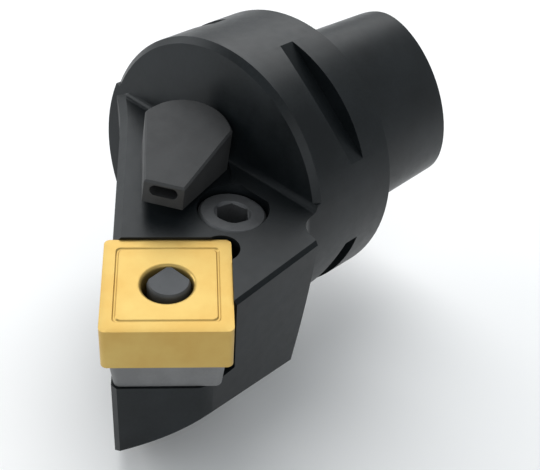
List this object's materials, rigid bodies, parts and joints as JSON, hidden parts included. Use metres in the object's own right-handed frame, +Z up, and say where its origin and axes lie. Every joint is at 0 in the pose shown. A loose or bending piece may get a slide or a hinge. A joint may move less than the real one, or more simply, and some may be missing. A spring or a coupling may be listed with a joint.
{
  "type": "turning tool holder",
  "caption": "Turning cutting head with a polygonal taper shank, a lever-clamped square insert at 45 degrees and a swivelling coolant nozzle.",
  "frame": {"origin": "centre of the flange's contact face, on the tool axis", "axes": "+X along the tool axis towards the cutting end, +Z up, normal to the head's top side"},
  "size_m": [0.0737, 0.0457, 0.0474],
  "materials": {
    "black_oxide_steel": "black oxide, satin",
    "gold_coated_carbide": "satin coating",
    "grey_carbide": "ground",
    "spring_steel": "satin",
    "dark_steel": "satin",
    "screw_steel": "black oxide, worn",
    "nozzle_steel": "satin",
    "seal_rubber": "matte"
  },
  "bodies": {
    "head": {"tool_body": "black_oxide_steel", "insert_shim": "grey_carbide", "shim_pin": "spring_steel", "nozzle_set_screw": "screw_steel"},
    "insert": {"cutting_insert": "gold_coated_carbide"},
    "lever": {"clamp_lever": "dark_steel"},
    "screw": {"lever_screw": "screw_steel"},
    "nozzle": {"coolant_nozzle": "nozzle_steel", "nozzle_o_ring": "seal_rubber"}
  },
  "joints": [
    {"name": "lever_screw_travel", "type": "slide", "parent": "head", "child": "screw", "axis": [0, 0, 1], "range_m": [0, 0.0005]},
    {"name": "lever_tilt", "type": "hinge", "parent": "head", "child": "lever", "pos_m": [0.0366, 0.0148, -0.01379], "axis": [-0.268, 0.9626, 0.0399], "range_deg": [0, 3.1]},
    {"name": "insert_lift", "type": "slide", "parent": "head", "child": "insert", "axis": [0.1471, 0, 0.9891], "range_m": [0, 0.012]},
    {"name": "nozzle_swivel", "type": "hinge", "parent": "head", "child": "nozzle", "pos_m": [0.0236, 0.00115, 0.0048], "axis": [0, 0, 1], "range_deg": [-12, 12]}
  ],
  "couplings": [
    {"joint": "lever_tilt", "follows": "lever_screw_travel", "rad_per_m": 98}
  ]
}
